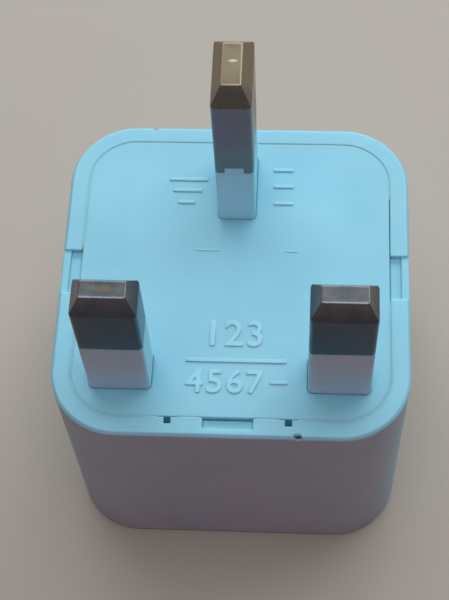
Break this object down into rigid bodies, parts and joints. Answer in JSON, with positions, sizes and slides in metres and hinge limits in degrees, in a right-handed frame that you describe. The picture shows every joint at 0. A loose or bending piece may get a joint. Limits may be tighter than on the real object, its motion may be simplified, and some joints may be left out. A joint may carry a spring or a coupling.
{
  "type": "travel adapter",
  "caption": "Cube travel adapter with rectangular sleeved pins on a snapped-in plate, an inner fuse and spring contacts, and a universal socket on the opposite face.",
  "frame": {"origin": "middle of the socket face, which the adapter rests on, level with the table", "axes": "+Z along the pins, away from the socket face; +Y towards the earth pin; the line pin is on the -X side"},
  "size_m": [0.0368, 0.037, 0.0518],
  "materials": {
    "housing_plastic": "fine satin moulded surface, pale blue",
    "sleeve_plastic": "smooth moulded sleeve, pale blue",
    "inner_plastic": "plain moulded",
    "plated_pin": "nickel plated, dull with fine rub marks",
    "contact_brass": "stamped strip",
    "clip_bronze": "stamped spring strip",
    "rivet_brass": "headed",
    "fuse_ceramic": "glazed",
    "fuse_cap_metal": "plated",
    "fuse_wire": "thin tinned strip"
  },
  "bodies": {
    "root": {"body_shell": "housing_plastic", "pin_plate": "housing_plastic", "line_pin": "plated_pin", "neutral_pin": "plated_pin", "earth_pin": "plated_pin", "line_sleeve": "sleeve_plastic", "neutral_sleeve": "sleeve_plastic", "earth_sleeve": "sleeve_plastic", "line_rivet": "rivet_brass", "neutral_rivet": "rivet_brass", "earth_rivet": "rivet_brass", "load_rivet": "rivet_brass", "line_contact": "contact_brass", "neutral_contact": "contact_brass", "earth_contact": "contact_brass", "contact_retainer": "inner_plastic", "fuse_tube": "fuse_ceramic", "fuse_cap_line": "fuse_cap_metal", "fuse_cap_load": "fuse_cap_metal", "fuse_element": "fuse_wire", "fuse_clip_line": "clip_bronze", "fuse_clip_load": "clip_bronze"}
  },
  "joints": []
}
